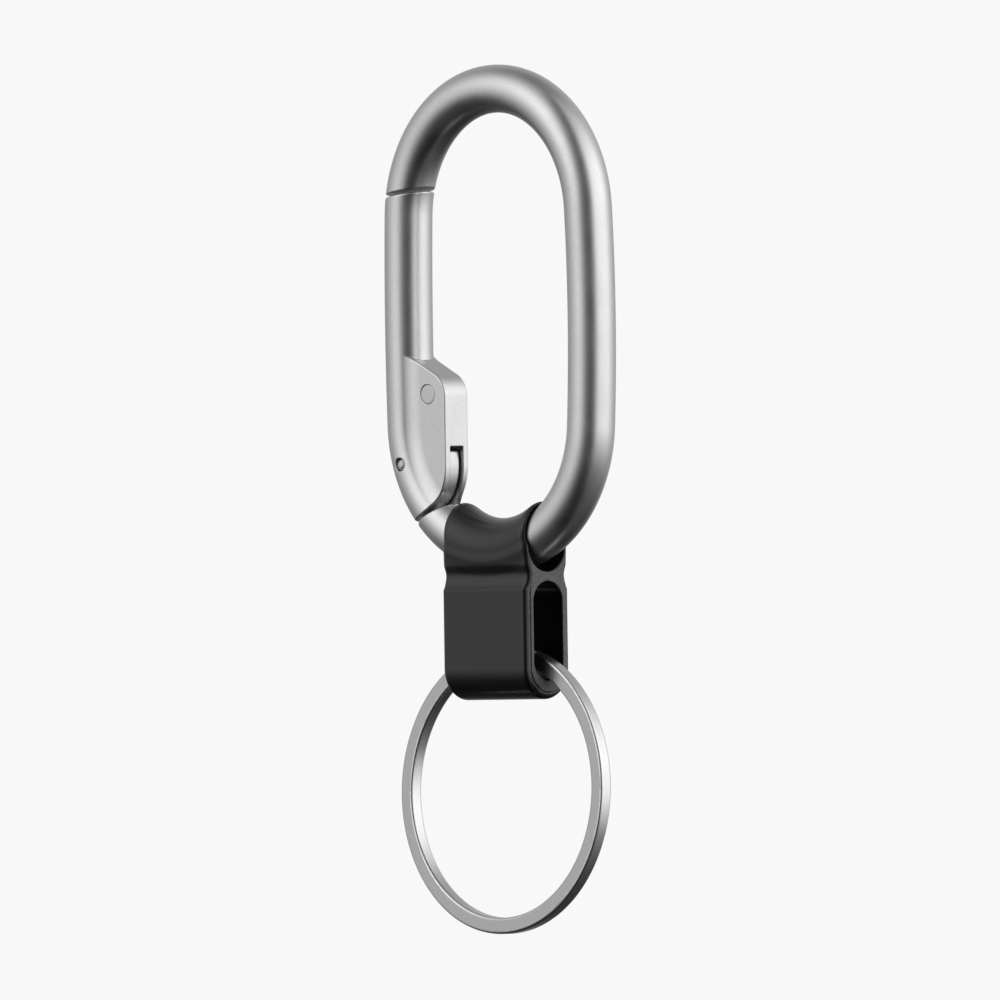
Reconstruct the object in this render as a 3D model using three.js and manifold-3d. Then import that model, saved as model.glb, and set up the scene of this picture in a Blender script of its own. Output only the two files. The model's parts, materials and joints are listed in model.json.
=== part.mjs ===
// Key organiser: a round-bar carabiner with a sprung gate, a moulded connector and a key ring.
// Millimetres. The carabiner lies in the XZ plane, +Z up, its flat front facing -Y.
// The origin is the hang point: the highest point of the inside of the top bend.
import * as THREE from 'three';
import { mergeVertices } from 'three/addons/utils/BufferGeometryUtils.js';
import Module from 'manifold-3d';

const wasm = await Module();
wasm.setup();

// Carabiner bar: two end bends of one radius, joined by slightly bowed sides.
const BAR_R = 2.5;
const BEND_R = 13.4;
const TOP_Z = -10.9;
const BOTTOM_Z = -32.0;
const SPINE_BOW_R = 195;
const GATE_BOW_R = 360;
const BAR_SIDES = 10;

// Seams between the gate and the frame. Angles are measured in the XZ plane.
const NOSE_GAP = 0.4;
const NOSE_SEAM = { x: -13.2, z: -8.45, tilt: 10 };
const GATE_OPEN = 18;
const FRAME_ENDS = { nose: 172, heel: 142 };
const GATE_ENDS = { nose: 162, heel: 122 };

// The gate's heel is round about the hinge pin, and the frame's stub faces it with a flat cut.
const HEEL_R = 5.95;
const HEEL_FACE = 6.25;
const HEEL_TILT = 27;

// Gate hump, its pins and the tongue inside it. The hump starts on the bar and slants inwards.
const CHEEK = 1.65;
const SLOT = 0.93;
const TONGUE = 0.75;
const HUMP_START = [[-13.5, -25.0], [-11.04, -25.56]];
const HUMP_FACE_X = -6.65;
const HUMP_CORNER = { z: -29.39, r: 2.6, slant: 63 };
const FACE_WALL = 0.5;
const SLOT_TOP_Z = -34.6;
const ROOM_TOP_Z = -27.15;
const ROOM_BOTTOM_Z = -36.6;
const ROOM_BACK_X = -12.3;
const HINGE = { x: -12.6, z: -36.5, r: 0.72, half: 2.42 };
const SPRING_PIN = { x: -9.4, z: -29.3, r: 1.1 };
const PIN_CLEARANCE = 0.1;
const BOSS_R = 1.45;
const HORN = { x: -9.05, z: -33.8, r: 0.5 };
const TONGUE_R = 5.55;
const TONGUE_TOP_Z = -35.05;
const TONGUE_CORNER_R = 1.2;
const TONGUE_ROOT_R = 7.2;
const TONGUE_RHO = 14.2;
const CLEAR = 0.3;

// Return spring.
const WIRE_R = 0.18;
const COIL_R = 1.42;
const COIL_TURNS = 3.5;
const COIL_PITCH = 0.41;
const HORN_LEG = 4.3;
const WALL_LEG = { length: 3.4, splay: 0.2 };

// Connector.
const LOOP_W = 12.8;
const LOOP_R = 3.25;
const SHOULDER = { y: 3.15, z: -45.3, pullZ: -46.9 };
const CHANNEL_R = 2.8;
const MOUTH_Z = -45.15;
const MOUTH_R = 2.6;
const BODY_T = 6.5;
const WAIST_T = 5.6;
const WAIST_Z = -48.0;
const CREASE_Z = -49.6;
const BODY_BOTTOM_Z = -61.05;
const SLOT_W = 4.15;
const SLOT_HIGH_Z = -48.85;
const SLOT_LOW_Z = -59.1;

// Key ring: one flat band whose two ends overlap in a half-thickness lap at the top.
const RING_R = 15;
const RING_RADIAL = 1.7;
const RING_AXIAL = 1.5;
const RING_Z = -70.3;
const RING_EDGE = 0.25;
const LAP_HALF_ANGLE = 18;
const LAP_GAP = 0.12;

const rad = THREE.MathUtils.degToRad;

// ---------- solids and booleans ----------

function toSolid(geometry) {
  const bare = geometry.clone();
  bare.deleteAttribute('normal');
  bare.deleteAttribute('uv');
  const merged = mergeVertices(bare, 1e-4);
  return new wasm.Manifold(new wasm.Mesh({
    numProp: 3,
    vertProperties: new Float32Array(merged.attributes.position.array),
    triVerts: new Uint32Array(merged.index.array),
  }));
}

function toGeometry(solid) {
  const mesh = solid.getMesh();
  const geometry = new THREE.BufferGeometry();
  geometry.setAttribute('position', new THREE.BufferAttribute(mesh.vertProperties, 3));
  geometry.setIndex(new THREE.BufferAttribute(mesh.triVerts, 1));
  geometry.computeVertexNormals();
  return geometry;
}

const join = (first, ...rest) => rest.reduce((all, next) => all.add(next), first);
const cut = (first, ...rest) => rest.reduce((all, next) => all.subtract(next), first);

// ---------- shapes ----------

// A plate drawn in X and Z, between two values of Y.
function plateXZ(shape, yLow, yHigh, curveSegments = 8) {
  const depth = yHigh - yLow;
  const geometry = new THREE.ExtrudeGeometry(shape, { depth, bevelEnabled: false, curveSegments });
  geometry.rotateX(Math.PI / 2);
  geometry.translate(0, yHigh, 0);
  return toSolid(geometry);
}

// A bar drawn in Y and Z, centred on X = 0.
function barYZ(shape, length, curveSegments = 8) {
  const geometry = new THREE.ExtrudeGeometry(shape, { depth: length, bevelEnabled: false, curveSegments });
  geometry.translate(0, 0, -length / 2);
  const turn = new THREE.Matrix4().makeBasis(
    new THREE.Vector3(0, 1, 0),
    new THREE.Vector3(0, 0, 1),
    new THREE.Vector3(1, 0, 0),
  );
  return toSolid(geometry.applyMatrix4(turn));
}

function disc(x, z, radius) {
  return new THREE.Shape().absarc(x, z, radius, 0, 2 * Math.PI, false);
}

function sweep(path, radius, steps, sides = BAR_SIDES) {
  const options = { steps, extrudePath: path, bevelEnabled: false, curveSegments: sides };
  return toSolid(new THREE.ExtrudeGeometry(disc(0, 0, radius), options));
}

function pinSolid(pin, half, radius = pin.r) {
  return plateXZ(disc(pin.x, pin.z, radius), -half, half, 12);
}

// A block with one face on a seam, reaching away from it: side +1 upwards, -1 downwards.
function seamBlock(seam, side, size, shift = 0) {
  const block = new THREE.BoxGeometry(size, size, size);
  block.translate(0, 0, (side * size) / 2 + shift);
  block.rotateY(-rad(seam.tilt));
  block.translate(seam.x, 0, seam.z);
  return toSolid(block);
}

// ---------- the carabiner's centreline ----------

class Arc extends THREE.Curve {
  constructor(centreX, centreZ, radius, from, to) {
    super();
    Object.assign(this, { centreX, centreZ, radius, from, to });
  }

  getPoint(t) {
    const angle = this.from + (this.to - this.from) * t;
    const x = this.centreX + this.radius * Math.cos(angle);
    const z = this.centreZ + this.radius * Math.sin(angle);
    return new THREE.Vector3(x, 0, z);
  }
}

const MID_Z = (TOP_Z + BOTTOM_Z) / 2;
const HALF_RISE = (TOP_Z - BOTTOM_Z) / 2;

// A side is an arc of large radius that touches both bends. Its centre lies on the far side.
function side(bowRadius) {
  const lean = Math.asin(HALF_RISE / (bowRadius - BEND_R));
  return { lean, offset: (bowRadius - BEND_R) * Math.cos(lean) };
}

const SPINE = side(SPINE_BOW_R);
const GATE_SIDE = side(GATE_BOW_R);

function chain(arcs) {
  const path = new THREE.CurvePath();
  arcs.forEach((arc) => path.add(arc));
  return path;
}

// From just short of the nose seam, over the top, down the spine and round to the heel seam.
function framePath() {
  const noseAngle = rad(FRAME_ENDS.nose);
  const heelAngle = -rad(FRAME_ENDS.heel);
  return chain([
    new Arc(0, TOP_Z, BEND_R, noseAngle, SPINE.lean),
    new Arc(-SPINE.offset, MID_Z, SPINE_BOW_R, SPINE.lean, -SPINE.lean),
    new Arc(0, BOTTOM_Z, BEND_R, -SPINE.lean, heelAngle),
  ]);
}

// From above the nose seam down the gate side and round to below the heel seam.
function gatePath() {
  const topAngle = rad(GATE_ENDS.nose);
  const turned = Math.PI + GATE_SIDE.lean;
  const heelAngle = rad(360 - GATE_ENDS.heel);
  return chain([
    new Arc(0, TOP_Z, BEND_R, topAngle, Math.PI - GATE_SIDE.lean),
    new Arc(GATE_SIDE.offset, MID_Z, GATE_BOW_R, Math.PI - GATE_SIDE.lean, turned),
    new Arc(0, BOTTOM_Z, BEND_R, turned, heelAngle),
  ]);
}

// A point in the XZ plane by its distance from the bottom bend's centre and its angle below -X.
function byBend(rho, below) {
  return new THREE.Vector2(-rho * Math.cos(rad(below)), BOTTOM_Z - rho * Math.sin(rad(below)));
}

function shapeThrough(points) {
  return new THREE.Shape(points.map((p) => (p.isVector2 ? p : new THREE.Vector2(...p))));
}

// Points round a corner, from one angle to another in degrees.
function corner(x, z, radius, from, to, steps = 5) {
  return Array.from({ length: steps + 1 }, (_, i) => {
    const angle = rad(from + ((to - from) * i) / steps);
    return [x + radius * Math.cos(angle), z + radius * Math.sin(angle)];
  });
}

// ---------- sub-parts ----------

// A point by its distance and angle from the hinge pin.
function byHinge(radius, angle) {
  const x = HINGE.x + radius * Math.cos(rad(angle));
  return new THREE.Vector2(x, HINGE.z + radius * Math.sin(rad(angle)));
}

function roundHinge(radius, from, to, steps) {
  return corner(HINGE.x, HINGE.z, radius, from, to, steps);
}

// The tongue carries the hinge pin on a boss and a small horn that the spring pushes on.
// Its inner edge is round about the pin, so that it stays in its slot as the gate turns.
function tongueShape(grow, edgeR) {
  const top = TONGUE_TOP_Z + grow;
  const hornFoot = HORN.r + 0.05 + grow;
  const cornerX = HINGE.x + TONGUE_R - TONGUE_CORNER_R;
  const cornerZ = TONGUE_TOP_Z - TONGUE_CORNER_R;
  return shapeThrough([
    ...roundHinge(BOSS_R + grow, 180, 90, 5),
    [HORN.x - hornFoot, top],
    ...corner(HORN.x, HORN.z, HORN.r + grow, 180, 0, 6),
    [HORN.x + hornFoot, top],
    ...corner(cornerX, cornerZ, TONGUE_CORNER_R + grow, 90, 15, 4),
    ...roundHinge(edgeR, -1, -46, 6),
    byHinge(TONGUE_ROOT_R, -50 + 4 * grow),
    byHinge(TONGUE_ROOT_R, -66),
    byBend(TONGUE_RHO + grow, 40),
    byBend(TONGUE_RHO + grow, 28),
  ]);
}

function frameSolid() {
  const bar = sweep(framePath(), BAR_R, 84);
  const stubFace = byHinge(HEEL_FACE, HEEL_TILT - 90);
  const heelSeam = { x: stubFace.x, z: stubFace.y, tilt: HEEL_TILT };
  const noseBlock = seamBlock(NOSE_SEAM, -1, 10, NOSE_GAP / 2);
  const trimmed = cut(bar, noseBlock, seamBlock(heelSeam, 1, 12));
  const tongue = plateXZ(tongueShape(0, TONGUE_R), -TONGUE, TONGUE);
  const bore = pinSolid(HINGE, 4, HINGE.r + PIN_CLEARANCE);
  return cut(join(trimmed, tongue), bore);
}

function humpShape() {
  return shapeThrough([
    ...HUMP_START,
    ...corner(HUMP_FACE_X - HUMP_CORNER.r, HUMP_CORNER.z, HUMP_CORNER.r, HUMP_CORNER.slant, 0, 6),
    ...roundHinge(HEEL_R, 0, -62, 9),
    byBend(BEND_R, 36),
    byBend(BEND_R, 22),
    byBend(BEND_R, 8),
  ]);
}

// The space for the coil, open below to the tongue's slot.
function springRoomShape() {
  const right = HUMP_FACE_X - FACE_WALL;
  const outside = HUMP_FACE_X + 1;
  return shapeThrough([
    [ROOM_BACK_X, ROOM_TOP_Z],
    [ROOM_BACK_X + 2.8, ROOM_TOP_Z],
    [right - 0.4, ROOM_TOP_Z - 1.2],
    [right, HUMP_CORNER.z],
    [right, SLOT_TOP_Z],
    [outside, SLOT_TOP_Z],
    [outside, ROOM_BOTTOM_Z],
    [ROOM_BACK_X, ROOM_BOTTOM_Z],
  ]);
}

// The tongue's room: its own outline with clearance, at rest and as the gate turns about it.
function tongueRoom() {
  const steps = [0, 0.2, 0.4, 0.6, 0.8, 1];
  return steps.map((part) => {
    const outline = tongueShape(CLEAR, HEEL_R + CLEAR);
    const room = new THREE.ExtrudeGeometry(outline, { depth: 2 * SLOT, bevelEnabled: false });
    room.rotateX(Math.PI / 2);
    room.translate(-HINGE.x, SLOT, -HINGE.z);
    room.rotateY(-rad(part * GATE_OPEN));
    room.translate(HINGE.x, 0, HINGE.z);
    return toSolid(room);
  });
}

function gateSolid() {
  const bar = sweep(gatePath(), BAR_R, 40);
  const hump = plateXZ(humpShape(), -CHEEK, CHEEK);
  const body = join(bar, hump);
  const room = plateXZ(springRoomShape(), -SLOT, SLOT);
  const bores = [
    pinSolid(HINGE, 4, HINGE.r + PIN_CLEARANCE),
    pinSolid(SPRING_PIN, 4, SPRING_PIN.r + PIN_CLEARANCE),
  ];
  const beyondHeel = shapeThrough([
    ...roundHinge(HEEL_R, -100, -10, 14),
    ...roundHinge(2.2 * HEEL_R, -10, -100, 6),
  ]);
  const ends = [seamBlock(NOSE_SEAM, 1, 10, -NOSE_GAP / 2), plateXZ(beyondHeel, -4, 4)];
  return cut(body, room, ...tongueRoom(), ...bores, ...ends);
}

// One leg bears on the horn of the tongue, the other on the wall of the hump.
class SpringPath extends THREE.Curve {
  getPoint(t) {
    const legShare = 0.12;
    const half = (COIL_TURNS * COIL_PITCH) / 2;
    if (t < legShare) {
      const along = 1 - t / legShare;
      return new THREE.Vector3(SPRING_PIN.x - COIL_R, -half, SPRING_PIN.z - HORN_LEG * along);
    }
    if (t > 1 - legShare) {
      const along = (t - 1 + legShare) / legShare;
      const legX = SPRING_PIN.x + COIL_R + WALL_LEG.splay * along;
      return new THREE.Vector3(legX, half, SPRING_PIN.z - WALL_LEG.length * along);
    }
    const turn = (t - legShare) / (1 - 2 * legShare);
    const angle = Math.PI - 2 * Math.PI * COIL_TURNS * turn;
    const x = SPRING_PIN.x + COIL_R * Math.cos(angle);
    const z = SPRING_PIN.z + COIL_R * Math.sin(angle);
    return new THREE.Vector3(x, half * (2 * turn - 1), z);
  }
}

function connectorProfile() {
  const half = BODY_T / 2;
  const waist = WAIST_T / 2;
  const shape = new THREE.Shape();
  shape.moveTo(SHOULDER.y, SHOULDER.z);
  shape.quadraticCurveTo(waist, SHOULDER.pullZ, waist, WAIST_Z);
  shape.lineTo(half, CREASE_Z);
  shape.lineTo(half, BODY_BOTTOM_Z + half);
  shape.absarc(0, BODY_BOTTOM_Z + half, half, 0, -Math.PI, true);
  shape.lineTo(-half, CREASE_Z);
  shape.lineTo(-waist, WAIST_Z);
  shape.quadraticCurveTo(-waist, SHOULDER.pullZ, -SHOULDER.y, SHOULDER.z);
  return shape;
}

function slotProfile() {
  const r = SLOT_W / 2;
  const shape = new THREE.Shape();
  shape.absarc(0, SLOT_HIGH_Z - r, r, 0, Math.PI, false);
  shape.absarc(0, SLOT_LOW_Z + r, r, Math.PI, 2 * Math.PI, false);
  return shape;
}

function bendArc(reach) {
  return new Arc(0, BOTTOM_Z, BEND_R, -rad(90 - reach), -rad(90 + reach));
}

function connectorSolid() {
  const loop = sweep(bendArc(34), LOOP_R, 20, 12);
  const trunk = barYZ(connectorProfile(), LOOP_W);
  const trim = new THREE.BoxGeometry(LOOP_W, 20, 40);
  trim.translate(0, 0, -50);
  const body = join(loop, trunk).intersect(toSolid(trim));
  const channel = sweep(bendArc(46), CHANNEL_R, 26, 12);
  const mouth = barYZ(disc(0, MOUTH_Z, MOUTH_R), LOOP_W + 4, 12);
  const slot = barYZ(slotProfile(), LOOP_W + 4);
  return cut(body, channel, mouth, slot);
}

function ringSolid() {
  const outer = RING_R;
  const inner = RING_R - RING_RADIAL;
  const half = RING_AXIAL / 2;
  const edge = RING_EDGE;
  const profile = [
    [inner + edge, -half],
    [outer - edge, -half],
    [outer, edge - half],
    [outer, half - edge],
    [outer - edge, half],
    [inner + edge, half],
    [inner, half - edge],
    [inner, edge - half],
    [inner + edge, -half],
  ].map(([radius, height]) => new THREE.Vector2(radius, height));
  const band = toSolid(new THREE.LatheGeometry(profile, 80)).translate([0, 0, RING_Z]);
  const [low, high] = [90 - LAP_HALF_ANGLE, 90 + LAP_HALF_ANGLE];
  const sector = (from, to) => shapeThrough([
    ...corner(0, RING_Z, outer + 1, from, to, 8),
    ...corner(0, RING_Z, inner - 1, to, from, 8),
  ]);
  const gap = LAP_GAP / 2;
  const split = plateXZ(sector(low, high), -gap, gap);
  const frontEnd = plateXZ(sector(low, low + 1.2), -2, gap);
  const backEnd = plateXZ(sector(high - 1.2, high), -gap, 2);
  return cut(band, split, frontEnd, backEnd);
}

// ---------- assembly ----------

const steel = { color: 0xb9babb, roughness: 0.38, metalness: 1.0 };
const pinSteel = { color: 0xaeafb0, roughness: 0.32, metalness: 1.0 };
const springSteel = { color: 0x8f9092, roughness: 0.3, metalness: 1.0 };
const ringSteel = { color: 0xb4b5b6, roughness: 0.3, metalness: 1.0 };
const polymer = { color: 0x1b1b1d, roughness: 0.55, metalness: 0.0 };

function node(name, solid, look) {
  const mesh = new THREE.Mesh(toGeometry(solid), new THREE.MeshStandardMaterial(look));
  mesh.name = name;
  return mesh;
}

const organiser = new THREE.Group();
const gate = new THREE.Group();
gate.add(
  node('gate_arm', gateSolid(), steel),
  node('hinge_pin', pinSolid(HINGE, HINGE.half), pinSteel),
  node('spring_pin', pinSolid(SPRING_PIN, CHEEK), pinSteel),
  node('return_spring', sweep(new SpringPath(), WIRE_R, 110, 4), springSteel),
);
organiser.add(
  node('carabiner_frame', frameSolid(), steel),
  gate,
  node('connector_loop', connectorSolid(), polymer),
  node('split_ring', ringSolid(), ringSteel),
);

export default organiser;
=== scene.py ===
import json
import math

import bpy
import numpy as np
from mathutils import Matrix, Vector


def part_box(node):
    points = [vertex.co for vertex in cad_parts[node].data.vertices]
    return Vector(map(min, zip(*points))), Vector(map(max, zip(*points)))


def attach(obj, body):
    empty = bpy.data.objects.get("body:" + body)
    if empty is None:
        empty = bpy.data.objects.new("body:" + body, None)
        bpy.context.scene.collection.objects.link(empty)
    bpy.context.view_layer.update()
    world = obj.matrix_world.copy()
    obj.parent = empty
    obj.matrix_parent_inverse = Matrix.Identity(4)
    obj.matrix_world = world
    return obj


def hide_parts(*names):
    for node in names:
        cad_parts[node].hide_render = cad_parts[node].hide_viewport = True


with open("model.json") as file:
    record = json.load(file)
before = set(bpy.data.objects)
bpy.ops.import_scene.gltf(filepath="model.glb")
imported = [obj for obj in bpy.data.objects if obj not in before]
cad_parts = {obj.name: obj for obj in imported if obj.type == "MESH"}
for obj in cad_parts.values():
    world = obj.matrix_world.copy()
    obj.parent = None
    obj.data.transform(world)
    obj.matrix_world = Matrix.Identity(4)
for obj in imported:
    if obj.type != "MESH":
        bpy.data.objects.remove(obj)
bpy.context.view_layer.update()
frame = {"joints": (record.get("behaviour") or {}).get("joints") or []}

# Lengths are in millimetres.
MM = 0.001
JOINTS = {joint["name"]: joint for joint in frame["joints"]}

# ---------- dimensions of the carabiner ----------
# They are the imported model's, with small changes to the nose seam, the cheeks and the tongue's top.
BAR_R = 2.5
BEND_R = 13.4
TOP_Z = -10.9
BOTTOM_Z = -32.0
MID_Z = (TOP_Z + BOTTOM_Z) / 2
HALF_RISE = (TOP_Z - BOTTOM_Z) / 2
SPINE_BOW_R = 195.0
GATE_BOW_R = 360.0

NOSE_X, NOSE_Z, NOSE_TILT = -13.2, -8.2, math.radians(8)
NOSE_GAP = 0.28
HEEL_R = 5.95
HEEL_FACE = 6.25
HEEL_TILT = math.radians(27)
HINGE_X = JOINTS["gate_hinge"]["pos_m"][0] / MM
HINGE_Z = JOINTS["gate_hinge"]["pos_m"][2] / MM

CHEEK = 1.68
SLOT_HALF = 0.93
TONGUE_HALF = 0.75
HUMP_FACE_X = -6.65
FACE_WALL = 0.5
SLOT_TOP_Z = -34.6
HUMP_CORNER_R = 2.6
HUMP_CORNER_Z = -29.39
TONGUE_R = 5.55
TONGUE_TOP_Z = -34.82


# ---------- distance fields ----------
# A field gives each point's distance to a solid, negative inside it. Fields take arrays x, y, z.
INSIDE, OUTSIDE = -1.0, 1.0


def round_join(a, b, r):
    """The union of two solids, with a concave fillet of radius r where they meet."""
    u = np.maximum(r - a, 0)
    v = np.maximum(r - b, 0)
    return np.maximum(r, np.minimum(a, b)) - np.hypot(u, v)


def round_meet(a, b, r):
    """The overlap of two solids, its new edge rounded to radius r."""
    u = np.maximum(r + a, 0)
    v = np.maximum(r + b, 0)
    return np.minimum(-r, np.maximum(a, b)) + np.hypot(u, v)


def smooth_step(low, high, value):
    t = np.clip((value - low) / (high - low), 0, 1)
    return t * t * (3 - 2 * t)


def tilted_plane(x, z, at_x, at_z, tilt):
    """Height above a plane through a point, its face tilted up towards +X."""
    return (z - at_z) * math.cos(tilt) - (x - at_x) * math.sin(tilt)


def bowed_side(x, z, bow_r, sign):
    """Offset from a bowed side's centreline, and whether the side is the nearest part of the oval."""
    lean = math.asin(HALF_RISE / (bow_r - BEND_R))
    centre_x = -sign * (bow_r - BEND_R) * math.cos(lean)
    across = sign * (x - centre_x)
    rise = z - MID_Z
    near = np.abs(np.arctan2(rise, across)) < lean
    return np.hypot(across, rise) - bow_r, near & (sign * x > 0)


def oval_offset(x, z):
    """Distance outwards from the carabiner's centreline, in its own plane."""
    centre_z = np.where(z > MID_Z, TOP_Z, BOTTOM_Z)
    offset = np.hypot(x, z - centre_z) - BEND_R
    for bow_r, sign in ((SPINE_BOW_R, 1), (GATE_BOW_R, -1)):
        side, near = bowed_side(x, z, bow_r, sign)
        offset = np.where(near, side, offset)
    return offset


def bar_field(x, y, z):
    return np.hypot(oval_offset(x, z), y) - BAR_R


def from_hinge(x, z):
    return np.hypot(x - HINGE_X, z - HINGE_Z)


def from_stub_face(x, z):
    """Height above the stub's flat cut, which faces the gate's heel."""
    at_x = HINGE_X + HEEL_FACE * math.sin(HEEL_TILT)
    at_z = HINGE_Z - HEEL_FACE * math.cos(HEEL_TILT)
    return tilted_plane(x, z, at_x, at_z, HEEL_TILT)


# ---------- meshes ----------
# A field is worked out slab by slab, to save memory, and the vertices settle on it in a few rounds.

BOX_MARGIN = 0.6
SLABS = 12
SETTLE_ROUNDS = 3
PROBE = 0.1
LEAST_SLOPE_SQUARED = 0.05
LONGEST_STEP = 0.5
TINY = 1e-9


def skin(field, low, high, cell):
    """A closed mesh on a field's surface: one vertex in each grid cell that it crosses, moved on to it."""
    axes = [np.arange(l, h + cell, cell) for l, h in zip(low, high)]
    values = np.concatenate([
        field(*np.meshgrid(part, axes[1], axes[2], indexing="ij"))
        for part in np.array_split(axes[0], SLABS)
    ])
    inside = values < 0
    count = [n - 1 for n in values.shape]
    corners = [(i, j, k) for i in (0, 1) for j in (0, 1) for k in (0, 1)]

    def shifted(array, c):
        return array[c[0]:c[0] + count[0], c[1]:c[1] + count[1], c[2]:c[2] + count[2]]

    filled = sum(shifted(inside, c).astype(np.int8) for c in corners)
    cells = np.argwhere((filled > 0) & (filled < len(corners)))
    number = -np.ones(count, np.int64)
    number[tuple(cells.T)] = np.arange(len(cells))

    total = np.zeros((len(cells), 3))
    hits = np.zeros(len(cells))
    for a in corners:
        for axis in range(3):
            if a[axis]:
                continue
            b = tuple(v + (n == axis) for n, v in enumerate(a))
            fa = values[tuple((cells + a).T)]
            fb = values[tuple((cells + b).T)]
            crossed = (fa < 0) != (fb < 0)
            share = np.where(crossed, fa / np.where(crossed, fa - fb, 1), 0)
            point = np.array(a, float) + share[:, None] * (np.array(b) - np.array(a))
            total += np.where(crossed[:, None], point, 0)
            hits += crossed
    points = np.array(low) + cell * (cells + total / hits[:, None])

    faces = []
    for axis in range(3):
        u, v = (axis + 1) % 3, (axis + 2) % 3
        ahead = [slice(None)] * 3
        behind = [slice(None)] * 3
        ahead[axis], behind[axis] = slice(1, None), slice(None, -1)
        for outward in (True, False):
            first, second = inside[tuple(behind)], inside[tuple(ahead)]
            edge = np.argwhere(first & ~second if outward else ~first & second)
            edge = edge[(edge[:, u] > 0) & (edge[:, v] > 0)]
            edge = edge[(edge[:, u] < count[u]) & (edge[:, v] < count[v])]
            steps = [(0, 0), (1, 0), (1, 1), (0, 1)]
            ring = []
            for du, dv in (steps if outward else steps[::-1]):
                at = edge.copy()
                at[:, u] -= 1 - du
                at[:, v] -= 1 - dv
                ring.append(number[tuple(at.T)])
            faces.append(np.stack(ring, 1))
    for _ in range(SETTLE_ROUNDS):
        value, slope = slope_of(field, points, cell * PROBE)
        squared = np.maximum((slope ** 2).sum(1), LEAST_SLOPE_SQUARED)
        step = value[:, None] * slope / squared[:, None]
        length = np.linalg.norm(step, axis=1)[:, None]
        points -= step * np.minimum(1, LONGEST_STEP * cell / np.maximum(length, TINY))
    slope = slope_of(field, points, cell * PROBE)[1]
    normals = slope / np.maximum(np.linalg.norm(slope, axis=1), TINY)[:, None]
    return points, np.concatenate(faces), normals


def slope_of(field, points, reach):
    """A field's value and slope at each point."""
    value = field(*points.T)
    slope = np.stack([
        field(*(points + reach * step).T) - field(*(points - reach * step).T)
        for step in np.eye(3)
    ], 1) / (2 * reach)
    return value, slope


def make_object(name, points, faces, material, normals=None):
    """A smooth mesh object from points in millimetres and a list of faces."""
    mesh = bpy.data.meshes.new(name)
    mesh.from_pydata((np.asarray(points) * MM).tolist(), [], [list(face) for face in faces])
    mesh.validate()
    mesh.polygons.foreach_set("use_smooth", [True] * len(mesh.polygons))
    if normals is not None:
        mesh.normals_split_custom_set_from_vertices(np.asarray(normals).tolist())
    mesh.materials.append(material)
    obj = bpy.data.objects.new(name, mesh)
    bpy.context.scene.collection.objects.link(obj)
    return obj


def finish_faces(obj, material, faces, turn, least):
    """A second material on the faces that point along an axis, by their normals' part along it."""
    obj.data.materials.append(material)
    chosen = np.abs(turn[np.asarray(faces)[:, 0]]) > least
    obj.data.polygons.foreach_set("material_index", chosen.astype(np.int32))


def place(obj, body, node):
    """The piece rides on a body and stands for a CAD node, whose mesh it hides."""
    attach(obj, body)
    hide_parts(node)


def around(node):
    """A CAD node's box in millimetres, with a margin."""
    low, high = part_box(node)
    return [v / MM - BOX_MARGIN for v in low], [v / MM + BOX_MARGIN for v in high]


# ---------- materials ----------

NOISE_LOW, NOISE_HIGH = 0.3, 0.7
PATCH_DETAIL, GRAIN_DETAIL = 3.0, 2.0
STEEL_PATCH, POLYMER_PATCH = 2.6, 3.5
POLYMER_SPECULAR = 0.5
SCRATCH_SIZE, SCRATCH_STRETCH, SCRATCH_DEPTH = 0.12, (1, 1, 6), 0.003


def new_material(name):
    material = bpy.data.materials.new(name)
    material.use_nodes = True
    nodes = material.node_tree.nodes
    shader = nodes["Principled BSDF"]
    return material, nodes, material.node_tree.links, shader


def object_noise(nodes, links, size, detail, stretch=(1, 1, 1)):
    """Noise in the piece's own space, its grains about size across."""
    coordinates = nodes.new("ShaderNodeTexCoord")
    mapping = nodes.new("ShaderNodeMapping")
    mapping.inputs["Scale"].default_value = [s / (size * MM) for s in stretch]
    noise = nodes.new("ShaderNodeTexNoise")
    noise.inputs["Scale"].default_value = 1.0
    noise.inputs["Detail"].default_value = detail
    links.new(coordinates.outputs["Object"], mapping.inputs["Vector"])
    links.new(mapping.outputs["Vector"], noise.inputs["Vector"])
    return noise.outputs["Fac"]


def ramp(nodes, links, value, low, high):
    spread = nodes.new("ShaderNodeMapRange")
    spread.inputs["From Min"].default_value = NOISE_LOW
    spread.inputs["From Max"].default_value = NOISE_HIGH
    spread.inputs["To Min"].default_value = low
    spread.inputs["To Max"].default_value = high
    links.new(value, spread.inputs["Value"])
    return spread.outputs["Result"]


def tone(nodes, links, value, dark, light):
    blend = nodes.new("ShaderNodeValToRGB")
    blend.color_ramp.elements[0].position = NOISE_LOW
    blend.color_ramp.elements[1].position = NOISE_HIGH
    blend.color_ramp.elements[0].color = (*dark, 1)
    blend.color_ramp.elements[1].color = (*light, 1)
    links.new(value, blend.inputs["Fac"])
    return blend.outputs["Color"]


def add_bump(nodes, links, shader, value, depth):
    bump = nodes.new("ShaderNodeBump")
    bump.inputs["Strength"].default_value = 1.0
    bump.inputs["Distance"].default_value = depth * MM
    links.new(value, bump.inputs["Height"])
    links.new(bump.outputs["Normal"], shader.inputs["Normal"])


def grained(name, patch, grain, depth, dark, light, rough):
    """A fine even grain in tone and height, over faint large patches in gloss."""
    material, nodes, links, shader = new_material(name)
    patches = object_noise(nodes, links, patch, PATCH_DETAIL)
    grains = object_noise(nodes, links, grain, GRAIN_DETAIL)
    links.new(tone(nodes, links, grains, dark, light), shader.inputs["Base Color"])
    links.new(ramp(nodes, links, patches, *rough), shader.inputs["Roughness"])
    add_bump(nodes, links, shader, grains, depth)
    return material, shader


def satin_metal(name, **finish):
    """Bead-blasted steel."""
    material, shader = grained(name, STEEL_PATCH, **finish)
    shader.inputs["Metallic"].default_value = 1.0
    return material


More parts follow.
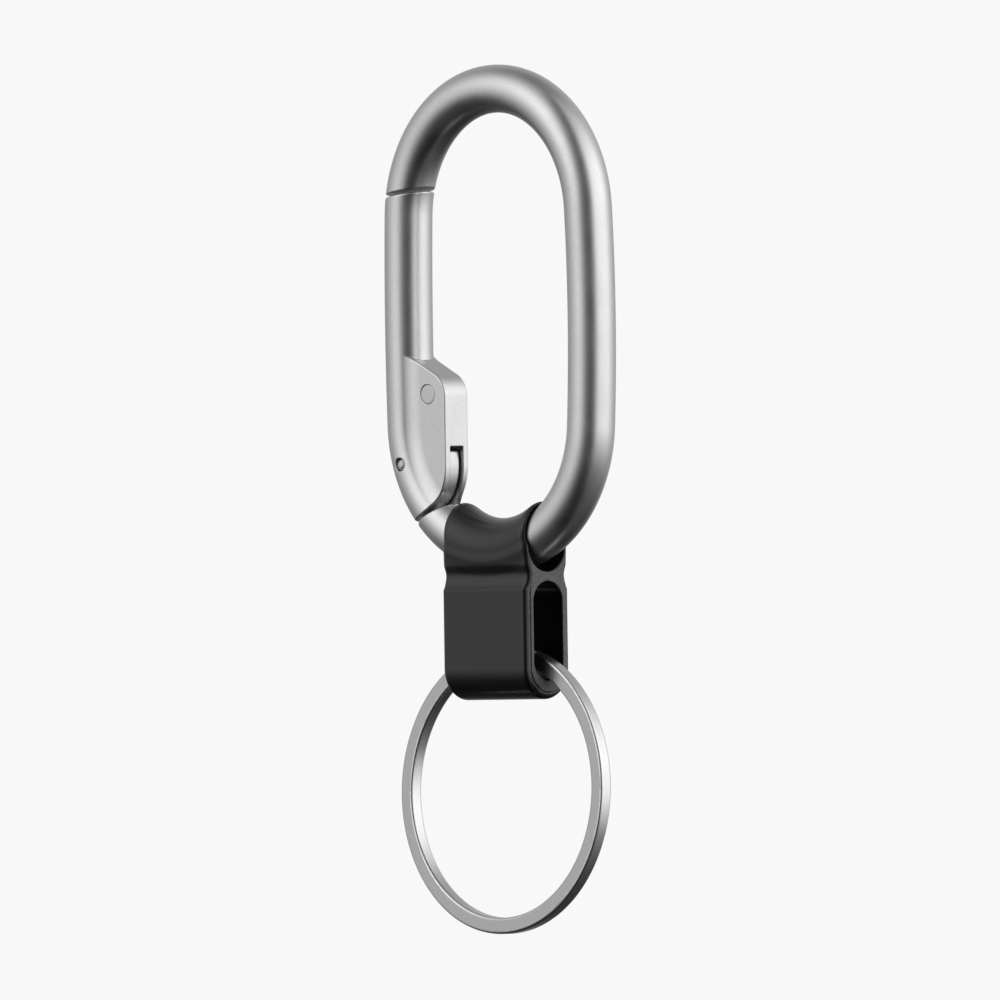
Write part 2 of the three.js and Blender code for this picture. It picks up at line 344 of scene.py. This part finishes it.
def moulded_polymer(name, **finish):
    """Black moulded polymer with a very fine spark-eroded texture."""
    material, shader = grained(name, POLYMER_PATCH, **finish)
    shader.inputs["Specular IOR Level"].default_value = POLYMER_SPECULAR
    return material


def drawn_wire(name, dark, light, rough):
    """Spring wire with fine scratches."""
    material, nodes, links, shader = new_material(name)
    shader.inputs["Metallic"].default_value = 1.0
    scratches = object_noise(nodes, links, SCRATCH_SIZE, PATCH_DETAIL, SCRATCH_STRETCH)
    links.new(tone(nodes, links, scratches, dark, light), shader.inputs["Base Color"])
    links.new(ramp(nodes, links, scratches, *rough), shader.inputs["Roughness"])
    add_bump(nodes, links, shader, scratches, SCRATCH_DEPTH)
    return material


BODY_STEEL = satin_metal(
    "satin_steel", grain=0.11, depth=0.004, rough=(0.3, 0.36),
    dark=(0.56, 0.56, 0.565), light=(0.66, 0.66, 0.665),
)
PIN_STEEL = satin_metal(
    "pin_steel", grain=0.09, depth=0.003, rough=(0.26, 0.34),
    dark=(0.5, 0.5, 0.505), light=(0.6, 0.6, 0.605),
)
RING_STEEL = satin_metal(
    "ring_steel", grain=0.1, depth=0.003, rough=(0.24, 0.3),
    dark=(0.6, 0.6, 0.605), light=(0.7, 0.7, 0.705),
)
# The ring's flat faces get this darker copy of the ring steel; its lower base colour is painted shade on
# them.
RING_SHADED_FACE = satin_metal(
    "ring_steel_face_painted_shade", grain=0.1, depth=0.003, rough=(0.28, 0.34),
    dark=(0.42, 0.42, 0.425), light=(0.5, 0.5, 0.505),
)
WIRE_STEEL = drawn_wire(
    "spring_steel", rough=(0.25, 0.4),
    dark=(0.3, 0.3, 0.31), light=(0.45, 0.45, 0.46),
)
POLYMER = moulded_polymer(
    "black_polymer", grain=0.09, depth=0.002, rough=(0.2, 0.25),
    dark=(0.003, 0.003, 0.0032), light=(0.006, 0.006, 0.0062),
)
# The connector's flat sides get this copy of the polymer: its coarser grain and rougher gloss are a real
# texture, and its lighter base colour is painted light.
POLYMER_LIT_SIDE = moulded_polymer(
    "black_polymer_side_painted_light", grain=0.14, depth=0.012, rough=(0.5, 0.6),
    dark=(0.04, 0.04, 0.041), light=(0.15, 0.15, 0.152),
)


# ---------- carabiner frame ----------

SEAM_EDGE = 0.18
FRAME_CELL = 0.14
FINE_CELL = 0.1
GATE_SIDE_X = -3.0
TONGUE_REACH = 7.2
TONGUE_BEND_R = 14.2
TONGUE_BACK = 0.2
TONGUE_ROUND_FROM_Z = -41.2
TONGUE_CORNER_R = 0.45
TONGUE_EDGE = 0.12
TONGUE_FILLET = 0.2
TONGUE_BORE_R = 0.82
BOSS_R = 1.45
HORN_X, HORN_HALF = -9.05, 0.5
HORN_TOP_Z, HORN_LOW_Z = -33.3, -36.0


def tongue_field(x, y, z):
    """The tongue: a boss round the hinge pin, a horn for the spring, and an edge round about the pin."""
    hinge = from_hinge(x, z)
    bend = np.hypot(x, z - BOTTOM_Z)
    blade = np.maximum(hinge - TONGUE_REACH, bend - TONGUE_BEND_R)
    blade = np.maximum(blade, HINGE_X - TONGUE_BACK - x)
    edge = np.where(z > TONGUE_ROUND_FROM_Z, hinge - TONGUE_R, INSIDE)
    blade = np.maximum(blade, edge)
    blade = round_meet(blade, z - TONGUE_TOP_Z, TONGUE_CORNER_R)
    horn = np.maximum(np.abs(x - HORN_X) - HORN_HALF, np.maximum(z - HORN_TOP_Z, HORN_LOW_Z - z))
    outline = np.minimum(np.minimum(blade, hinge - BOSS_R), horn)
    plate = round_meet(outline, np.abs(y) - TONGUE_HALF, TONGUE_EDGE)
    return np.maximum(plate, TONGUE_BORE_R - hinge)


def frame_field(x, y, z):
    nose = tilted_plane(x, z, NOSE_X, NOSE_Z, NOSE_TILT) - NOSE_GAP / 2
    gate_side = np.maximum(np.maximum(nose, -from_stub_face(x, z)), x - GATE_SIDE_X)
    bar = round_meet(bar_field(x, y, z), -gate_side, SEAM_EDGE)
    return round_join(bar, tongue_field(x, y, z), TONGUE_FILLET)


def make_frame():
    low, high = around("carabiner_frame")
    points, faces, normals = skin(frame_field, low, high, FRAME_CELL)
    piece = make_object("frame_bar", points, faces, BODY_STEEL, normals)
    place(piece, "carabiner", "carabiner_frame")


# ---------- gate ----------

HUMP_EDGE = 0.17
CHEEK_BLEND = 4.0
SHOULDER_TILT = math.radians(27)
GATE_BAR_X = -6.0
ROOM_BACK_X, ROOM_LOW_Z, ROOM_ROOF = -12.3, -37.0, 0.15
SLOT_BACK_X, SLOT_BEND_R, SLOT_BOSS_R = -13.2, 14.5, 1.75
HOLLOW_EDGE = 0.1
SPRING_PIN_X, SPRING_PIN_Z = -9.24, -29.15
SPRING_PIN_R = 1.0
PIN_GROOVE, GROOVE_EDGE = 0.014, 0.06
HINGE_PIN_X, HINGE_PIN_Z = HINGE_X - 0.12, HINGE_Z + 0.08
HINGE_PIN_R = 0.61
PIN_HOLE_R, HOLE_EDGE = 0.68, 0.1


def along_slant(x, z):
    """A point's place from the centre of the hump's round corner, in two ways.

    First along X and Z, then out of the slanted shoulder and down along it.
    """
    u = x - (HUMP_FACE_X - HUMP_CORNER_R)
    w = z - HUMP_CORNER_Z
    across = u * math.sin(SHOULDER_TILT) + w * math.cos(SHOULDER_TILT)
    down = u * math.cos(SHOULDER_TILT) - w * math.sin(SHOULDER_TILT)
    return u, w, across, down


def from_slant(x, z):
    """Height above the hump's slanted shoulder."""
    return along_slant(x, z)[2] - HUMP_CORNER_R


def cheeked_bar(inward, across, blend):
    """A round bar's section with flat cheeks running inwards from it, the two blended by a fillet."""
    step = BAR_R - CHEEK
    middle_u = np.sqrt(step * (BAR_R + CHEEK + 2 * blend))
    middle_v = CHEEK + blend
    fillet = blend - np.hypot(inward - middle_u, across - middle_v)
    section = np.where(inward > middle_u, across - CHEEK, fillet)
    on_bar = across * middle_u > inward * middle_v
    return np.where(on_bar | (inward < 0), np.hypot(inward, across) - BAR_R, section)


def hump_outline(x, z):
    """The hump's slanted shoulder, round corner and flat inner face, and the heel's arc below the hinge."""
    u, w, across, down = along_slant(x, z)
    in_corner = (w > 0) & (down > 0)
    face = np.where(z < HINGE_Z, from_hinge(x, z) - HEEL_R, x - HUMP_FACE_X)
    flat = np.maximum(face, across - HUMP_CORNER_R)
    return np.where(in_corner, np.hypot(u, w) - HUMP_CORNER_R, flat)


def hump_field(x, y, z):
    section = cheeked_bar(-oval_offset(x, z), np.abs(y), CHEEK_BLEND)
    return round_meet(section, hump_outline(x, z), HUMP_EDGE)


def hollow_field(x, y, z):
    """The slot and the spring's room inside the hump."""
    hinge = from_hinge(x, z)
    bend = np.hypot(x, z - BOTTOM_Z)
    room = np.maximum(ROOM_BACK_X - x, from_slant(x, z) + FACE_WALL + ROOM_ROOF)
    room = np.maximum(room, ROOM_LOW_Z - z)
    room = np.maximum(room, x - (HUMP_FACE_X - FACE_WALL))
    slot = np.maximum(bend - SLOT_BEND_R, z - SLOT_TOP_Z)
    slot = np.minimum(np.maximum(slot, SLOT_BACK_X - x), hinge - SLOT_BOSS_R)
    return round_meet(np.minimum(room, slot), np.abs(y) - SLOT_HALF, HOLLOW_EDGE)


def gate_field(x, y, z):
    nose = tilted_plane(x, z, NOSE_X, NOSE_Z, NOSE_TILT) + NOSE_GAP / 2
    heel = np.minimum(from_hinge(x, z) - HEEL_R, HINGE_Z - z)
    bar = round_meet(np.maximum(bar_field(x, y, z), x - GATE_BAR_X), nose, SEAM_EDGE)
    bar = round_meet(bar, heel, SEAM_EDGE)
    body = np.minimum(bar, np.maximum(hump_field(x, y, z), nose))
    body = round_meet(body, -hollow_field(x, y, z), HOLLOW_EDGE)
    from_pin = np.hypot(x - HINGE_PIN_X, z - HINGE_PIN_Z)
    body = round_meet(body, PIN_HOLE_R - from_pin, HOLE_EDGE)
    from_spring_pin = np.hypot(x - SPRING_PIN_X, z - SPRING_PIN_Z)
    return round_meet(body, SPRING_PIN_R + PIN_GROOVE - from_spring_pin, GROOVE_EDGE)


def make_gate():
    low, high = around("gate_arm")
    points, faces, normals = skin(gate_field, low, high, FINE_CELL)
    piece = make_object("gate_arm_body", points, faces, BODY_STEEL, normals)
    place(piece, "gate", "gate_arm")


# ---------- pins ----------

HINGE_PIN_HALF, HINGE_PIN_RIM, HINGE_PIN_DOME = 2.32, 0.16, 0.05
SPRING_PIN_HALF, SPRING_PIN_RIM, SPRING_PIN_DOME = 1.64, 0.06, 0.0
PIN_SIDES = 64
RIM_STEPS = 6
# Rings on a domed end: part of the pin's radius against part of the dome's height.
DOME_RINGS = ((0.45, 0.75), (0.75, 0.35))


def turned_pin(name, x, z, profile):
    """A solid of revolution about Y from (radius, y) points, closed flat at both ends."""
    points, faces = [], []
    for radius, y in profile:
        for i in range(PIN_SIDES):
            a = 2 * math.pi * i / PIN_SIDES
            points.append((x + radius * math.cos(a), y, z + radius * math.sin(a)))
    for r in range(0, len(points) - PIN_SIDES, PIN_SIDES):
        for i in range(PIN_SIDES):
            j = (i + 1) % PIN_SIDES
            faces.append((r + i, r + PIN_SIDES + i, r + PIN_SIDES + j, r + j))
    faces.append(tuple(range(PIN_SIDES)))
    faces.append(tuple(range(len(points) - PIN_SIDES, len(points)))[::-1])
    return make_object(name, points, faces, PIN_STEEL)


def pin_profile(radius, half, edge, dome):
    """A pin's outline from one end to the other, with rounded rims and domed ends."""
    end = [(radius * out, -half - dome * up) for out, up in DOME_RINGS]
    rim = [
        (radius - edge + edge * math.sin(a), -half + edge - edge * math.cos(a))
        for a in (math.pi / 2 * i / RIM_STEPS for i in range(RIM_STEPS + 1))
    ]
    side = end + rim
    return side + [(r, -y) for r, y in reversed(side)]


def make_pins():
    profile = pin_profile(HINGE_PIN_R, HINGE_PIN_HALF, HINGE_PIN_RIM, HINGE_PIN_DOME)
    hinge = turned_pin("hinge_pin_turned", HINGE_PIN_X, HINGE_PIN_Z, profile)
    place(hinge, "gate", "hinge_pin")
    profile = pin_profile(SPRING_PIN_R, SPRING_PIN_HALF, SPRING_PIN_RIM, SPRING_PIN_DOME)
    spring = turned_pin("spring_pin_turned", SPRING_PIN_X, SPRING_PIN_Z, profile)
    place(spring, "gate", "spring_pin")


# ---------- return spring ----------

COIL_X, COIL_Z = -9.4, -29.3
COIL_R = 1.42
COIL_TURNS, COIL_PITCH = 3.5, 0.41
WIRE_R = 0.18
HORN_LEG, WALL_LEG, WALL_SPLAY = 4.3, 3.4, 0.2
LEG_STEPS, COIL_STEPS = 8, 140
WIRE_ROUNDING = 4


def make_spring():
    """The torsion spring: a straight leg, three and a half turns and a second leg, in one wire."""
    half = COIL_TURNS * COIL_PITCH / 2
    route = []
    for i in range(LEG_STEPS):
        route.append((COIL_X - COIL_R, -half, COIL_Z - HORN_LEG * (1 - i / LEG_STEPS)))
    for i in range(COIL_STEPS + 1):
        a = math.pi - 2 * math.pi * COIL_TURNS * i / COIL_STEPS
        y = half * (2 * i / COIL_STEPS - 1)
        route.append((COIL_X + COIL_R * math.cos(a), y, COIL_Z + COIL_R * math.sin(a)))
    for i in range(1, LEG_STEPS + 1):
        part = i / LEG_STEPS
        route.append((COIL_X + COIL_R + WALL_SPLAY * part, half, COIL_Z - WALL_LEG * part))
    curve = bpy.data.curves.new("return_spring_wire", "CURVE")
    curve.dimensions = "3D"
    curve.bevel_depth = WIRE_R * MM
    curve.bevel_resolution = WIRE_ROUNDING
    curve.use_fill_caps = True
    spline = curve.splines.new("POLY")
    spline.points.add(len(route) - 1)
    for point, at in zip(spline.points, route):
        point.co = (*(v * MM for v in at), 1)
    spline.use_smooth = True
    curve.materials.append(WIRE_STEEL)
    piece = bpy.data.objects.new("return_spring_wire", curve)
    bpy.context.scene.collection.objects.link(piece)
    place(piece, "gate", "return_spring")


# ---------- connector ----------

HANG_X, HANG_Y = 0.13, 0.13
LOOP_HALF_W = 6.36
LOOP_R = 3.25
LOOP_FILLET = 0.8
LOOP_ONLY_Z = -40.0
CHANNEL_R, CHANNEL_EDGE = 2.8, 0.22
MOUTH_Z, MOUTH_R = -45.15, 2.6
BODY_HALF = 3.25
BODY_BOTTOM_Z = -61.05
WAIST_HALF, WAIST_Z = 2.72, -48.1
FLANK_HALF, FLANK_Z = 3.02, -46.9
TRUNK_TOP, TRUNK_TOP_EDGE = 0.8, 0.6
CREASE_Z = -49.6
SLOT_R, SLOT_EDGE = 2.075, 0.12
SLOT_HIGH_Z, SLOT_LOW_Z = -48.85, -59.1
CORNER_R, CORNER_TO_Z = 0.65, -47.0
LOOP_CORNER_R, LOOP_CORNER_FROM_Z = 1.1, -45.0
SIDE_TURN = 0.97
SIDE_STEP = 0.1
SIDE_MARGIN = 0.7
STEP_EDGE = 0.05
STEP_FADE = 0.8


def trunk_field(x, y, z):
    """The body below the bar, waisted at the top and full round at the bottom."""
    centre_z = BODY_BOTTOM_Z + BODY_HALF
    stadium = np.hypot(y, np.minimum(z - centre_z, 0)) - BODY_HALF
    below = np.clip((WAIST_Z - z) / (WAIST_Z - CREASE_Z), 0, 1) ** 2 * (BODY_HALF - WAIST_HALF)
    above = smooth_step(WAIST_Z, FLANK_Z, z) * (FLANK_HALF - WAIST_HALF)
    taper = np.abs(y) - WAIST_HALF - below - above
    top = BEND_R + TRUNK_TOP - np.hypot(x, z - BOTTOM_Z)
    return round_meet(np.maximum(stadium, taper), top, TRUNK_TOP_EDGE)


def connector_field(x, y, z):
    """The moulding, which hangs a little to one side of the bar."""
    x, y = x - HANG_X, y - HANG_Y
    bend = np.hypot(x, z - BOTTOM_Z) - BEND_R
    loop = np.hypot(bend, y) - LOOP_R
    body = round_join(loop, trunk_field(x, y, z), LOOP_FILLET)
    body = np.where(z > LOOP_ONLY_Z, np.maximum(body, loop), body)
    channel = np.minimum(
        np.hypot(bend, y) - CHANNEL_R,
        np.hypot(z - MOUTH_Z, y) - MOUTH_R,
    )
    slot_z = np.clip(z, SLOT_LOW_Z + SLOT_R, SLOT_HIGH_Z - SLOT_R)
    slot = np.hypot(z - slot_z, y) - SLOT_R
    rising = smooth_step(CORNER_TO_Z, LOOP_CORNER_FROM_Z, z)
    corner = CORNER_R + (LOOP_CORNER_R - CORNER_R) * rising
    pad = round_meet(body + SIDE_MARGIN, np.abs(x) - LOOP_HALF_W, STEP_EDGE)
    pad = np.where(z < CREASE_Z + STEP_FADE, pad, OUTSIDE)
    step = SIDE_STEP * smooth_step(CREASE_Z + STEP_FADE, CREASE_Z, z)
    body = round_meet(body, np.abs(x) - LOOP_HALF_W + step, corner)
    body = np.minimum(body, pad)
    body = round_meet(body, -channel, CHANNEL_EDGE)
    return round_meet(body, -slot, SLOT_EDGE)


def make_connector():
    low, high = around("connector_loop")
    points, faces, normals = skin(connector_field, low, high, FINE_CELL)
    piece = make_object("connector_body", points, faces, POLYMER, normals)
    # The flat sides take the lighter polymer: their lighter tone is painted light over a coarser real
    # texture.
    finish_faces(piece, POLYMER_LIT_SIDE, faces, normals[:, 0], SIDE_TURN)
    place(piece, "connector", "connector_loop")


# ---------- key ring ----------

RING_TOP_Z = -56.0
RING_SWAY = 0.2
RING_LEAN = 0.0155
RING_Z = -70.4
RING_MID_R = 14.15
RING_HALF_RADIAL = 0.85
RING_HALF_AXIAL = 0.75
RING_EDGE = 0.3
FACE_TURN = 0.97
LAP_HALF_ANGLE = math.radians(18)
LAP_GAP = 0.12
LAP_END_HALF = 0.15


def ring_field(x, y, z):
    """A flat band whose ends overlap at the top, each at half thickness."""
    sway = RING_SWAY - RING_LEAN * (RING_TOP_Z - z)
    x, y = x - sway, y - sway
    rho = np.hypot(x, z - RING_Z)
    radial = np.abs(rho - RING_MID_R) - RING_HALF_RADIAL
    band = round_meet(radial, np.abs(y) - RING_HALF_AXIAL, RING_EDGE)
    angle = np.arctan2(x, z - RING_Z)
    along = angle * RING_MID_R
    lap = LAP_HALF_ANGLE * RING_MID_R
    split = np.maximum(np.abs(y) - LAP_GAP / 2, np.abs(along) - lap)
    front_end = np.maximum(np.abs(along - lap) - LAP_END_HALF, y - LAP_GAP / 2)
    back_end = np.maximum(np.abs(along + lap) - LAP_END_HALF, -LAP_GAP / 2 - y)
    cuts = np.minimum(split, np.minimum(front_end, back_end))
    return np.maximum(band, -cuts)


def make_ring():
    low, high = around("split_ring")
    points, faces, normals = skin(ring_field, low, high, FINE_CELL)
    piece = make_object("key_ring_band", points, faces, RING_STEEL, normals)
    # The flat faces take the darker steel as painted shade; the rounded edges keep the lighter ring steel.
    finish_faces(piece, RING_SHADED_FACE, faces, normals[:, 1], FACE_TURN)
    place(piece, "ring", "split_ring")


make_frame()
make_gate()
make_pins()
make_spring()
make_connector()
make_ring()


# ---------- stage, lights and camera ----------

CAMERA_AZIMUTH = math.radians(45.82)
CAMERA_ELEVATION = math.radians(-0.3)
CAMERA_ROLL = math.radians(-0.82)
FRAME_HEIGHT = 103.966
CAMERA_DISTANCE = 3600
SENSOR = 36
AIM_HEIGHT = -40.278
AIM_ASIDE = -0.2235
CLIP_NEAR_M, CLIP_FAR_M = 0.01, 100
FLOOR_R_M = 30
FLOOR_Z_M = -0.35
FLOOR_SIDES = 64
PALE = 0.94
WHITE = (1, 1, 1, 1)


def direction(azimuth, elevation):
    """The unit vector from the object towards a place seen at an azimuth and elevation, in radians."""
    return Vector((
        math.sin(azimuth) * math.cos(elevation),
        -math.cos(azimuth) * math.cos(elevation),
        math.sin(elevation),
    ))


def make_camera():
    data = bpy.data.cameras.new("camera")
    data.sensor_width = SENSOR
    data.lens = SENSOR * CAMERA_DISTANCE / FRAME_HEIGHT
    data.clip_start, data.clip_end = CLIP_NEAR_M, CLIP_FAR_M
    camera = bpy.data.objects.new("camera", data)
    back = direction(CAMERA_AZIMUTH, CAMERA_ELEVATION)
    aside = direction(CAMERA_AZIMUTH + math.pi / 2, 0)
    aim = Vector((0, 0, AIM_HEIGHT)) + aside * AIM_ASIDE
    camera.location = (aim + back * CAMERA_DISTANCE) * MM
    look = (-back).to_track_quat("-Z", "Y").to_matrix()
    camera.rotation_euler = (look @ Matrix.Rotation(CAMERA_ROLL, 3, "Z")).to_euler()
    bpy.context.scene.collection.objects.link(camera)
    bpy.context.scene.camera = camera


def glow_material(name, strength):
    material = bpy.data.materials.new(name)
    material.use_nodes = True
    nodes = material.node_tree.nodes
    nodes.clear()
    glow = nodes.new("ShaderNodeEmission")
    glow.inputs["Color"].default_value = WHITE
    glow.inputs["Strength"].default_value = strength
    out = nodes.new("ShaderNodeOutputMaterial")
    material.node_tree.links.new(glow.outputs["Emission"], out.inputs["Surface"])
    return material


def make_stage():
    """A pale floor that only the camera sees, as bright as the world behind it."""
    bpy.ops.mesh.primitive_circle_add(
        vertices=FLOOR_SIDES, radius=FLOOR_R_M, fill_type="NGON", location=(0, 0, FLOOR_Z_M),
    )
    floor = bpy.context.object
    floor.name = "floor"
    floor.data.materials.append(glow_material("pale_floor", PALE))
    for ray in ("diffuse", "glossy", "transmission", "volume_scatter", "shadow"):
        setattr(floor, f"visible_{ray}", False)


# Studio light by direction: azimuth from the camera's bearing, positive to its right, against
# brightness; then elevation against a factor on it. It is brightest in a tall band on each side of the
# camera, as from softboxes. The left band reaches further up, so directions in front on that side
# have an elevation table of their own. Angles are in degrees.
LIGHT_BY_AZIMUTH = (
    (-180, 0.50), (-144, 0.43), (-128, 0.48), (-112, 0.60), (-100, 0.72), (-90, 0.80), (-80, 1.02),
    (-64, 1.10), (-52, 0.96), (-44, 0.68), (-36, 0.39), (-28, 0.19), (-12, 0.08), (4, 0.07),
    (14, 0.20), (22, 0.76), (30, 1.30), (42, 1.45), (64, 1.48), (86, 1.56), (98, 1.20),
    (112, 0.86), (128, 0.63), (150, 0.52), (180, 0.50),
)
LIGHT_BY_ELEVATION = (
    (-90, 0.04), (-60, 0.05), (-42, 0.07), (-28, 0.17), (-15, 0.60), (-5, 0.94), (5, 1.02), (15, 1.12),
    (30, 1.10), (45, 0.88), (60, 0.56), (75, 0.40), (90, 0.35),
)
LEFT_BY_ELEVATION = (
    (-90, 0.04), (-60, 0.05), (-42, 0.05), (-28, 0.15), (-15, 0.54), (-5, 0.90), (5, 1.10), (15, 1.40),
    (30, 1.50), (45, 1.25), (60, 0.74), (75, 0.52), (90, 0.35),
)
LEFT_EDGE = 0.25
LIGHT_LIMIT = 2.0
# A ramp's added stops wait here until each is moved to its place.
NEW_STOP = 0.5
HALF_CIRCLE, QUARTER_CIRCLE = 180, 90


def curve_of(nodes, links, value, limit, stops):
    """A value looked up in a table of (place, result) pairs, with places from -limit to limit."""
    spread = nodes.new("ShaderNodeMapRange")
    spread.inputs["From Min"].default_value = -limit
    spread.inputs["From Max"].default_value = limit
    links.new(value, spread.inputs["Value"])
    table = nodes.new("ShaderNodeValToRGB")
    elements = table.color_ramp.elements
    while len(elements) < len(stops):
        elements.new(NEW_STOP)
    for element, (at, result) in zip(elements, stops):
        element.position = (at + limit) / (2 * limit)
        element.color = (*(3 * [result / LIGHT_LIMIT]), 1)
    links.new(spread.outputs["Result"], table.inputs["Fac"])
    return table.outputs["Color"]


def maths(nodes, links, operation, *values):
    node = nodes.new("ShaderNodeMath")
    node.operation = operation
    for slot, value in zip(node.inputs, values):
        if isinstance(value, (int, float)):
            slot.default_value = value
        else:
            links.new(value, slot)
    return node.outputs["Value"]


def ease(nodes, links, value, start, end):
    """Nought at one value and one at another, eased between."""
    spread = nodes.new("ShaderNodeMapRange")
    spread.interpolation_type = "SMOOTHSTEP"
    spread.inputs["From Min"].default_value = start
    spread.inputs["From Max"].default_value = end
    links.new(value, spread.inputs["Value"])
    return spread.outputs["Result"]


def along(nodes, links, vector, axis):
    node = nodes.new("ShaderNodeVectorMath")
    node.operation = "DOT_PRODUCT"
    node.inputs[1].default_value = axis
    links.new(vector, node.inputs[0])
    return node.outputs["Value"]


def make_lights():
    """A world whose light depends on direction. The camera itself sees an even pale backdrop instead."""
    world = bpy.data.worlds.new("studio")
    bpy.context.scene.world = world
    world.use_nodes = True
    nodes, links = world.node_tree.nodes, world.node_tree.links
    toward = nodes.new("ShaderNodeTexCoord").outputs["Generated"]
    front = direction(CAMERA_AZIMUTH, 0)
    right = direction(CAMERA_AZIMUTH + math.pi / 2, 0)
    ahead = along(nodes, links, toward, front)
    aside = along(nodes, links, toward, right)
    up = along(nodes, links, toward, (0, 0, 1))
    azimuth = maths(nodes, links, "DEGREES", maths(nodes, links, "ARCTAN2", aside, ahead))
    elevation = maths(nodes, links, "DEGREES", maths(nodes, links, "ARCSINE", up))
    round_about = curve_of(nodes, links, azimuth, HALF_CIRCLE, LIGHT_BY_AZIMUTH)
    upwards = curve_of(nodes, links, elevation, QUARTER_CIRCLE, LIGHT_BY_ELEVATION)
    left_upwards = curve_of(nodes, links, elevation, QUARTER_CIRCLE, LEFT_BY_ELEVATION)
    to_left = ease(nodes, links, aside, LEFT_EDGE, -LEFT_EDGE)
    to_front = ease(nodes, links, ahead, -2 * LEFT_EDGE, 0)
    share = maths(nodes, links, "MULTIPLY", to_left, to_front)
    change = maths(nodes, links, "SUBTRACT", left_upwards, upwards)
    upwards = maths(nodes, links, "MULTIPLY_ADD", change, share, upwards)
    strength = maths(nodes, links, "MULTIPLY", round_about, upwards)
    strength = maths(nodes, links, "MULTIPLY", strength, LIGHT_LIMIT ** 2)
    light = nodes["Background"]
    light.inputs["Color"].default_value = WHITE
    links.new(strength, light.inputs["Strength"])
    backdrop = nodes.new("ShaderNodeBackground")
    backdrop.inputs["Color"].default_value = WHITE
    backdrop.inputs["Strength"].default_value = PALE
    chosen = nodes.new("ShaderNodeMixShader")
    links.new(nodes.new("ShaderNodeLightPath").outputs["Is Camera Ray"], chosen.inputs["Fac"])
    links.new(light.outputs["Background"], chosen.inputs[1])
    links.new(backdrop.outputs["Background"], chosen.inputs[2])
    links.new(chosen.outputs["Shader"], nodes["World Output"].inputs["Surface"])


make_camera()
make_stage()
make_lights()
bpy.context.scene.view_settings.view_transform = "Standard"
